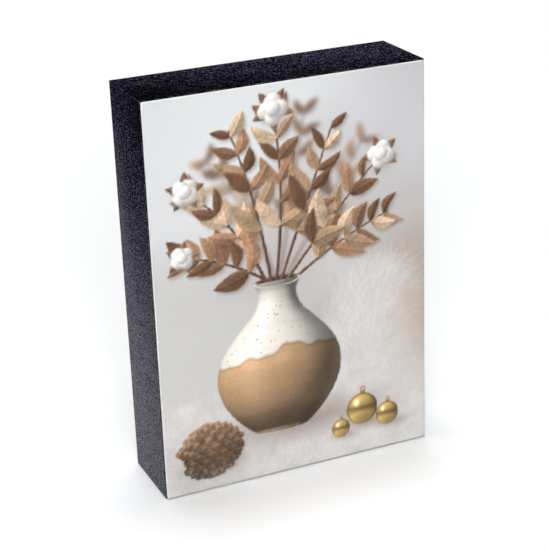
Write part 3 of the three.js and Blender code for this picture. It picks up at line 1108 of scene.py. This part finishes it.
vase_look = lit(body, normal, shade=0.5)
window = soft_step(-0.62, -0.54, beside) * soft_step(-0.3, -0.38, beside)
window = window * soft_step(61, 65, up) * soft_step(80, 74, up) * (1 - 0.6 * bell(beside + 0.46, 0.012))
clay_sheen = bell(beside + 0.45, 0.2) * bell(up - 48, 13)
vase_look = vase_look + (0.12 * blurred(window, 0.5) + 0.05 * clay_sheen)[..., None]
vase_look = vase_look * (1 - 0.3 * soft_step(0.35, 1.0, beside))[..., None]
vase_look = vase_look + 0.09 * soft_step(0.75, 1.0, beside)[..., None] * FAR_EDGE_LIGHT
vase_look = vase_look * (1 - 0.3 * soft_step(VASE_FOOT + 14, VASE_FOOT, up))[..., None]
foot_line = VASE_FOOT - 1.9 * np.sqrt(np.clip(1 - ((across - VASE_X) / FOOT_RADIUS) ** 2, 0, 1))
from_axis = np.abs(across - VASE_X)
sides = within(from_axis - radius_there) * (up >= VASE_FOOT) * (up < VASE_RIM)
foot = (up < VASE_FOOT) & (up > foot_line) & (from_axis < FOOT_RADIUS)
lay(whole_canvas, np.maximum(sides, foot), np.clip(vase_look, 0, 1))
part, dx, dy = near(VASE_X, VASE_RIM, NECK_REACH)
rim = soft_step(0.14, 0.0, np.abs(np.hypot(dx / 11.0, dy / 2.5) - 0.95)) * (dy < 0.6)
lay(part, rim * 0.8, RIM_LIGHT)
print("vase painted,", round(2 * float(radius_there.max())), "mm wide")

# %% [markdown]
# Small things in front finish the still life: a pine cone on the left, whose scales follow the spiral of
# a real one, and three gold baubles on the right. A bauble is a mirror: how far a place on it looks up or
# down says what part of the room it shows. Short hairs are drawn over the feet, which seats everything.
# At last the print's own fine grain is added, and the canvas is done.

# %% A brush for the cone
CONE_BROWN = tint(126, 96, 74)
CONE_DEEP = tint(52, 38, 30)
SCALE_TIP = tint(184, 156, 128)
CONE_SHADE = tint(110, 95, 85)
CONE_SCALES = 110
GOLDEN_ANGLE = radians(137.508)


def cone(x, y, length, width, turn):
    """Scales round an egg, the tip's first, so that each one overlaps those before it"""
    soft_spot(x + 2, y - width * 0.42, length * 0.5, width * 0.26, 0.55, CONE_SHADE)
    part, dx, dy = near(x, y, length * 0.6)
    egg = np.hypot(
        (dx * cos(turn) + dy * sin(turn)) / (length * 0.44),
        (dy * cos(turn) - dx * sin(turn)) / (width * 0.44),
    )
    lay(part, soft_step(1.05, 0.9, egg), CONE_DEEP)
    for order in range(CONE_SCALES):
        share = order / (CONE_SCALES - 1)
        if cos(order * GOLDEN_ANGLE) < -0.15:
            continue
        off = sin(order * GOLDEN_ANGLE)
        half = width / 2 * sin(pi * (0.05 + 0.84 * share)) ** 0.75
        along = (0.47 - 0.96 * share) * length
        scale_x = x + cos(turn) * along - sin(turn) * off * half
        scale_y = y + sin(turn) * along + cos(turn) * off * half
        angle = turn + off * 0.85
        tone = 0.8 + 0.3 * off * cos(turn) + chance.normal(0, 0.05)
        size = width * (0.2 + 0.1 * sin(pi * share))
        leaf_blade(scale_x, scale_y, angle, size * 1.25, size * 1.25, CONE_BROWN * tone)
        tip_x, tip_y = scale_x + cos(angle) * size * 0.95, scale_y + sin(angle) * size * 0.95
        soft_spot(tip_x, tip_y, size * 0.28, size * 0.28, 0.75, SCALE_TIP * (tone + 0.1))
        soft_spot(tip_x + 0.35, tip_y - 0.55, size * 0.2, size * 0.2, 0.5, CONE_DEEP)


print("a brush for a cone of", CONE_SCALES, "scales")

# %% A brush for baubles
GOLD = tint(205, 170, 104)
CAP_GOLD = tint(150, 122, 78)
BAUBLE_SHADE = tint(118, 100, 84)
ROOM_HEIGHTS = (-1.0, -0.5, -0.15, 0.1, 0.3, 0.65, 1.0)
ROOM_TONES = (0.72, 0.86, 0.62, 0.5, 0.66, 0.86, 1.0)


def bauble(x, y, radius):
    soft_spot(x + 0.35 * radius, y - 0.85 * radius, 1.15 * radius, 0.42 * radius, 0.55, BAUBLE_SHADE)
    part, dx, dy = near(x + 0.08 * radius, y + radius, radius)
    cap = soft_step(0.2, 0.14, np.abs(dx) / radius) * soft_step(0.17, 0.12, np.abs(dy) / radius)
    ring = soft_step(0.05, 0.02, np.abs(np.hypot(dx, dy - 0.28 * radius) / radius - 0.13))
    lay(part, np.maximum(cap, ring), CAP_GOLD * (1 - 0.5 * dx / radius)[..., None])
    part, dx, dy = near(x, y, radius + 2 * canvas_step)
    away = np.hypot(dx, dy) / radius
    rise = np.sqrt(np.clip(1 - away**2, 0, 1))
    mirrored = 2 * rise * dy / radius
    tone = np.interp(mirrored + 0.05 * (blotches[part] - 0.5), ROOM_HEIGHTS, ROOM_TONES)
    tone = tone * (1.08 - 0.32 * dx / radius) * (1 - 0.25 * soft_step(0.8, 1.0, away))
    glint = bell(dx + 0.36 * radius, 0.15 * radius) * bell(dy - 0.42 * radius, 0.18 * radius)
    colour = np.clip(GOLD * tone[..., None] + 0.6 * glint[..., None], 0, 1)
    lay(part, within(away - 1, canvas_step / radius), colour)


print("a brush for baubles that mirror", len(ROOM_TONES), "tones of a room")

# %% Paint the cone, the baubles and the last hairs
BAUBLES = ((31, 21.5, 7.6), (43.5, 16.5, 5.6), (20.5, 14.0, 4.4))
PRINT_NOISE = 0.012


def in_front():
    return chance.uniform(-62, 62), chance.uniform(1, 10)


def at_vase_foot():
    return VASE_X + chance.uniform(-16, 16), VASE_FOOT - chance.uniform(1.5, 3)


cone(x=-43, y=18, length=28, width=17, turn=0.3)
for place_and_size in BAUBLES:
    bauble(*place_and_size)
hairs(700, in_front, length=(3, 6), strength=0.4, spread=0.5, lean=ground_lean)
hairs(70, at_vase_foot, length=(1.5, 3.5), strength=0.3, spread=0.5, lean=ground_lean)
corner_dimming = soft_step(60, 120, np.hypot(across, (up - 95) * 0.8))
canvas *= (1 - 0.05 * corner_dimming)[..., None]
canvas += (chance.random((canvas_rows, canvas_columns, 1)) - 0.5) * PRINT_NOISE
canvas = np.clip(canvas, 0, 1)
print("picture painted, mean colour", np.round(canvas.mean(axis=(0, 1)) * 255))

# %% [markdown]
# ## The print
#
# The real picture is ink on paper under a clear satin film, trimmed flush with its card. The sheet that
# stands for paper and film has a face of small cells, and each of its points takes the canvas's colour
# there into a colour attribute. That needs no image file, and it travels with the mesh. Where the sheet
# was trimmed, its cut edge is white paper, which has greyed a little towards the right. Its lower and
# right edges carry a hairline of painted shade in dark grey, for the thin shadow under and beside them.

# %% The print's finish
PRINT_EASE = 0.14 * MM
TRIM_WIDTH = 1.05 * PRINT_EASE
CUT_PAPER = grey(0.79)
HANDLED = grey(0.83)
HANDLED_SPAN = (-25 * MM, 63.5 * MM)
# Painted shade: a dark hairline along the print's lower edge and dark streaks along its right edge.
EDGE_SHADE_COLOUR = (0.05, 0.05, 0.055)
FOOT_SHADE_WIDTH = 0.18 * MM
SIDE_SHADE_WIDTH = 0.22 * MM
SIDE_SHADE_SHARE = 0.75
SIDE_SHADE_SPAN = (0.3, 0.7)
SHADE_STREAK_SIZE = 0.3 * MM
SHADE_STREAK_RUN = (1, 1, 0.6)
INK_GRAIN = 0.16 * MM
PAPER_WAVE = 1.4 * MM
PAPER_RELIEF = 0.008 * MM


def handled(tree, right, paper):
    """Paper that has greyed a little towards the end where a hand takes hold of the block"""
    return shaded(tree, paper, HANDLED, share_between(tree, right, *HANDLED_SPAN))


def painted_edge_shade(tree, right, up, box):
    """How much painted shade the lower edge gets, all along, and the right edge, in streaks"""
    streaks = clouds(tree, object_point(tree, SHADE_STREAK_RUN), SHADE_STREAK_SIZE)
    past_foot = calc(tree, "LESS_THAN", up, box[0].z + FOOT_SHADE_WIDTH)
    past_right = calc(tree, "GREATER_THAN", right, box[1].x - SIDE_SHADE_WIDTH)
    side_shade = product(tree, past_right, share_between(tree, streaks, *SIDE_SHADE_SPAN), SIDE_SHADE_SHARE)
    return calc(tree, "MAXIMUM", past_foot, side_shade)


def print_finish(box):
    finish, tree = new_finish("satin_print", roughness=0.42, specular=0.22)
    point = object_point(tree)
    right, _, up = axes(tree, point)
    picture = add_node(tree, "Attribute", attribute_name="picture").outputs["Color"]
    grain = clouds(tree, point, INK_GRAIN, roughness=0.8)
    inked = shaded(tree, picture, ramp(tree, grain, (0.3, grey(0.965)), (0.7, grey(1.0))))
    trimmed = calc(tree, "LESS_THAN", arris_distance(tree, point, box), TRIM_WIDTH)
    edged = mix_colours(tree, trimmed, inked, handled(tree, right, CUT_PAPER))
    # Painted shade along the lower and right edges.
    rubbed = mix_colours(tree, painted_edge_shade(tree, right, up, box), edged, EDGE_SHADE_COLOUR)
    return complete(finish, rubbed, clouds(tree, point, PAPER_WAVE, detail=1.0), PAPER_RELIEF)


print_box = (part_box("print_laminate")[0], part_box("photo_print")[1])
print_material = print_finish(print_box)
print("the print's finish has", len(print_material.node_tree.nodes), "nodes")

# %% Model the print and give it its colours
PRINT_CORNER = 0.45 * MM


def as_light(painted):
    """Painted values from 0 to 1 turned into amounts of light, as the shader needs"""
    return np.where(painted <= 0.04045, painted / 12.92, ((painted + 0.055) / 1.055) ** 2.4)


def canvas_at(x, y):
    """The canvas's colour round a place, as the mean of the samples of one cell"""
    soft = sum(np.roll(canvas, (row, column), (0, 1)) for row in (-1, 0, 1) for column in (-1, 0, 1)) / 9
    columns = np.clip(((x + paper_wide / 2) / canvas_step).astype(int), 1, canvas_columns - 2)
    rows = np.clip((y / paper_high * canvas_rows).astype(int), 1, canvas_rows - 2)
    return soft[rows, columns]


picture_sheet = fine_sheet("picture_print", print_box, (90, 0), PRINT_CELL, PRINT_EASE, PRINT_CORNER)
points = np.array([vertex.co for vertex in picture_sheet.data.vertices])
colours = np.ones((len(points), 4))
colours[:, :3] = as_light(canvas_at(points[:, 0] / MM, (points[:, 2] - print_low.z) / MM))
picture_layer = picture_sheet.data.color_attributes.new("picture", type="FLOAT_COLOR", domain="POINT")
picture_layer.data.foreach_set("color", colours.ravel())
picture_sheet.data.materials.append(print_material)
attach(picture_sheet, "root")
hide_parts("photo_print", "print_laminate")
for word in ("white_edge", "right_side"):
    let_light(word, picture_sheet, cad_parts["print_card"])
print(picture_sheet.name, "has", len(picture_sheet.data.polygons), "faces and", len(points), "colours")

# %% [markdown]
# ## What lies behind the picture
#
# The card, the film that holds it, the two boards and the glue between them keep their shape from the
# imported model. Only thin lines of them show: the card's white edge along the picture, and the boards'
# brown fibre down in the keyholes. Each gets its real finish all the same, because a cut-away view of
# the part shows them.

# %% Finishes of card, glue, boards and backing paper
PRIMER_BLACK = (0.02, 0.02, 0.022)
PRIMER_DEPTH = 0.4 * MM
FIBRE_BROWNS = ((0.3, (0.25, 0.145, 0.07)), (0.5, (0.45, 0.29, 0.155)), (0.72, (0.60, 0.42, 0.25)))


def set_finish(finish, *nodes):
    for name in nodes:
        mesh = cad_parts[name].data
        mesh.materials.clear()
        mesh.materials.append(finish)


def card_finish():
    finish, tree = new_finish("white_core_card", roughness=0.85, specular=0.2)
    point = object_point(tree)
    fibres = clouds(tree, object_point(tree, (1, 6, 1)), 0.5 * MM, detail=3.0, roughness=0.7)
    white = ramp(tree, fibres, (0.3, grey(0.70)), (0.65, grey(0.80)))
    right = axes(tree, point)[0]
    return complete(finish, handled(tree, right, white), clouds(tree, point, 0.2 * MM), 0.03 * MM)


def glue_finish():
    finish, tree = new_finish("dried_glue", roughness=0.45, specular=0.4)
    streaks = clouds(tree, object_point(tree, (1, 1, 3)), 4 * MM, detail=3.0)
    pale = ramp(tree, streaks, (0.35, (0.70, 0.68, 0.62)), (0.65, (0.84, 0.83, 0.79)))
    return complete(finish, pale, streaks, 0.05 * MM)


def board_finish(name, primed_to=None):
    """Fibreboard: short brown fibres pressed flat. The front board's face is primed black up to a depth"""
    finish, tree = new_finish(name, roughness=0.88, specular=0.15)
    pressed = object_point(tree, (1, 3, 1))
    fibres = clouds(tree, pressed, 0.9 * MM, detail=5.0, roughness=0.75)
    patchy = ramp(tree, clouds(tree, pressed, 14 * MM), (0.3, (0.86, 0.84, 0.80)), (0.7, grey(1.0)))
    board = shaded(tree, ramp(tree, fibres, *FIBRE_BROWNS), patchy)
    if primed_to is not None:
        back = axes(tree, object_point(tree))[1]
        board = mix_colours(tree, calc(tree, "LESS_THAN", back, primed_to), board, PRIMER_BLACK)
    return complete(finish, board, fibres, 0.12 * MM)


def backing_finish():
    """Black paper: a matt felt of fibres, a little paler where it was rubbed"""
    finish, tree = new_finish("black_backing_paper", roughness=0.82, specular=0.18)
    point = object_point(tree)
    fibres = clouds(tree, object_point(tree, (1, 1, 3)), 0.7 * MM, detail=4.0, roughness=0.75)
    black = ramp(tree, fibres, (0.3, (0.011, 0.011, 0.012)), (0.7, (0.034, 0.034, 0.037)))
    rubbed = ramp(tree, clouds(tree, point, 22 * MM, detail=3.0), (0.45, grey(1.0)), (0.75, grey(1.5)))
    felt = calc(tree, "ADD", fibres, clouds(tree, point, 0.25 * MM))
    return complete(finish, shaded(tree, black, rubbed), felt, 0.03 * MM)


set_finish(card_finish(), "print_card")
set_finish(glue_finish(), "mounting_film", "board_glue")
set_finish(board_finish("primed_fibreboard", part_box("front_board")[0].y + PRIMER_DEPTH), "front_board")
set_finish(board_finish("bare_fibreboard"), "rear_board")
set_finish(backing_finish(), "back_sheet")
let_light("back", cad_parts["back_sheet"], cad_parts["rear_board"])
print("finishes set on card, glue, boards and backing paper")

# %% [markdown]
# ## Keyhole hangers
#
# Two steel plates with round ends are let into the back, each with a keyhole and two screws. They are
# punched from zinc-plated sheet: punching rolls their upper edges over, and plating leaves a bright
# cloudy grey with fine lines from the rolled sheet. A copy of each plate's mesh is merged and its
# arrises bevelled in edit mode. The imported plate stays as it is, hidden.

# %% Model and finish the hanger plates
PLATE_EASE = 0.16 * MM
PLATE_SHARP = radians(50)
PLATE_SMOOTH = radians(35)
MERGE_GAP = 0.001 * MM
FLAT_ENOUGH = radians(1)


def steel_finish(name, roughness, dark, bright):
    finish, tree = new_finish(name, roughness=roughness, metallic=1.0)
    lines = clouds(tree, object_point(tree, (1, 1, 14)), 1.2 * MM, detail=3.0, roughness=0.7)
    spangle = clouds(tree, object_point(tree), 3.5 * MM, detail=4.0, roughness=0.6)
    plated = ramp(tree, spangle, (0.3, dark), (0.7, bright))
    lined = shaded(tree, plated, ramp(tree, lines, (0.3, grey(0.86)), (0.7, grey(1.0))))
    return complete(finish, lined, calc(tree, "ADD", lines, spangle), 0.01 * MM)


def eased_copy(node, name, ease):
    """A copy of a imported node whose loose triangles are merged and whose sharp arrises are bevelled"""
    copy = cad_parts[node].copy()
    copy.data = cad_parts[node].data.copy()
    copy.name = name
    bpy.context.scene.collection.objects.link(copy)
    work_on(copy)
    bpy.ops.object.mode_set(mode="EDIT")
    bpy.ops.mesh.select_all(action="SELECT")
    bpy.ops.mesh.remove_doubles(threshold=MERGE_GAP)
    bpy.ops.mesh.dissolve_limited(angle_limit=FLAT_ENOUGH)
    bpy.ops.mesh.select_all(action="DESELECT")
    bpy.ops.mesh.select_mode(type="EDGE")
    bpy.ops.mesh.edges_select_sharp(sharpness=PLATE_SHARP)
    bpy.ops.mesh.bevel(offset=ease, segments=3, affect="EDGES")
    bpy.ops.object.mode_set(mode="OBJECT")
    bpy.ops.object.shade_smooth_by_angle(angle=PLATE_SMOOTH)
    return copy


plate_steel = steel_finish("zinc_plated_sheet", 0.34, (0.44, 0.45, 0.47), (0.60, 0.61, 0.63))
for node in ("top_hanger_plate", "side_hanger_plate"):
    plate = eased_copy(node, "eased_" + node, PLATE_EASE)
    plate.data.materials.clear()
    plate.data.materials.append(plate_steel)
    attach(plate, "root")
    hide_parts(node)
    let_light("back", plate)
    print(plate.name, "has", len(plate.data.polygons), "faces")

screw_steel = steel_finish("zinc_plated_screw", 0.3, (0.40, 0.41, 0.43), (0.55, 0.56, 0.58))
screw_names = [f"{place}_hanger_{end}_screw" for place in ("top", "side") for end in ("outer", "inner")]
set_finish(screw_steel, *screw_names)
let_light("back", *(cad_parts[name] for name in screw_names))
print("finish set on", len(screw_names), "screws")

# %% [markdown]
# ## Rubber bumpers
#
# Four small pads on the back keep the block off the wall. A real one is a moulded drop of rubber with
# a flat crown and a soft shoulder. A cylinder is the start: its outer rim is bevelled in many steps, so
# that the shoulder comes out round and a short straight band stays at its foot.

# %% Model the bumpers
BUMPER_SIDES = 64
BUMPER_FLAT = 2.6 * MM
BUMPER_SMOOTH = radians(40)
BACKWARDS = Vector((0, 1, 0))


def rubber_finish():
    finish, tree = new_finish("soft_black_rubber", roughness=0.62, specular=0.35, sheen=0.08)
    point = object_point(tree)
    dust = clouds(tree, point, 1.1 * MM, detail=5.0, roughness=0.7)
    black = ramp(tree, dust, (0.35, (0.018, 0.018, 0.019)), (0.75, (0.055, 0.054, 0.053)))
    return complete(finish, black, clouds(tree, point, 0.18 * MM), 0.012 * MM)


def bumper_pad(node, finish):
    low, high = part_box(node)
    radius, height = (high.x - low.x) / 2, high.y - low.y
    deselect()
    bpy.ops.mesh.primitive_cylinder_add(
        vertices=BUMPER_SIDES,
        radius=radius,
        depth=height,
        location=(low + high) / 2,
        rotation=(radians(-90), 0, 0),
    )
    pad = bpy.context.object
    pad.name = "moulded_" + node
    bpy.ops.object.transform_apply(location=True, rotation=True, scale=True)
    bpy.ops.object.mode_set(mode="EDIT")
    select_rim(pad, BACKWARDS)
    bpy.ops.mesh.bevel(offset=radius - BUMPER_FLAT, segments=8, affect="EDGES")
    bpy.ops.object.mode_set(mode="OBJECT")
    bpy.ops.object.shade_smooth_by_angle(angle=BUMPER_SMOOTH)
    pad.data.materials.append(finish)
    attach(pad, "root")
    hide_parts(node)
    let_light("back", pad)
    return pad


bumper_rubber = rubber_finish()
for node in ("top_left_bumper", "top_right_bumper", "bottom_left_bumper", "bottom_right_bumper"):
    pad = bumper_pad(node, bumper_rubber)
    print(pad.name, "is", [round(side / MM, 2) for side in pad.dimensions], "mm")
